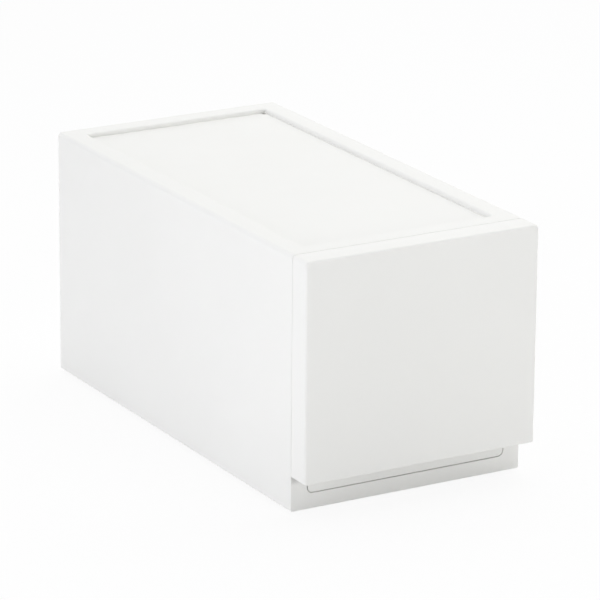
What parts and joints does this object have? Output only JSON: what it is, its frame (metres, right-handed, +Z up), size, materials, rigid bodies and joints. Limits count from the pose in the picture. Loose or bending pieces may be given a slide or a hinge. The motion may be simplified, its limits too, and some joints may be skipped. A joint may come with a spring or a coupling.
{
  "type": "stackable drawer box",
  "caption": "White moulded drawer box with a stacking recess in its top and a drawer that slides out by a finger grip under its hollow front.",
  "frame": {"origin": "under the middle of the whole box, drawer front included, on the surface that the pads stand on", "axes": "+Z up, the drawer opens towards -Y, +X to the right as one stands facing the drawer"},
  "size_m": [0.171, 0.342, 0.1725],
  "materials": {
    "case_plastic": "fine satin grain",
    "drawer_plastic": "fine satin grain",
    "front_plastic": "fine satin grain",
    "pad_rubber": "soft, slightly cloudy"
  },
  "bodies": {
    "case": {"case_shell": "case_plastic", "back_panel": "case_plastic", "foot_front_left": "pad_rubber", "foot_front_right": "pad_rubber", "foot_rear_left": "pad_rubber", "foot_rear_right": "pad_rubber"},
    "drawer": {"drawer_tray": "drawer_plastic", "drawer_front": "front_plastic"}
  },
  "joints": [
    {"name": "drawer_slide", "type": "slide", "parent": "case", "child": "drawer", "axis": [0, -1, 0], "range_m": [0, 0.24]}
  ]
}
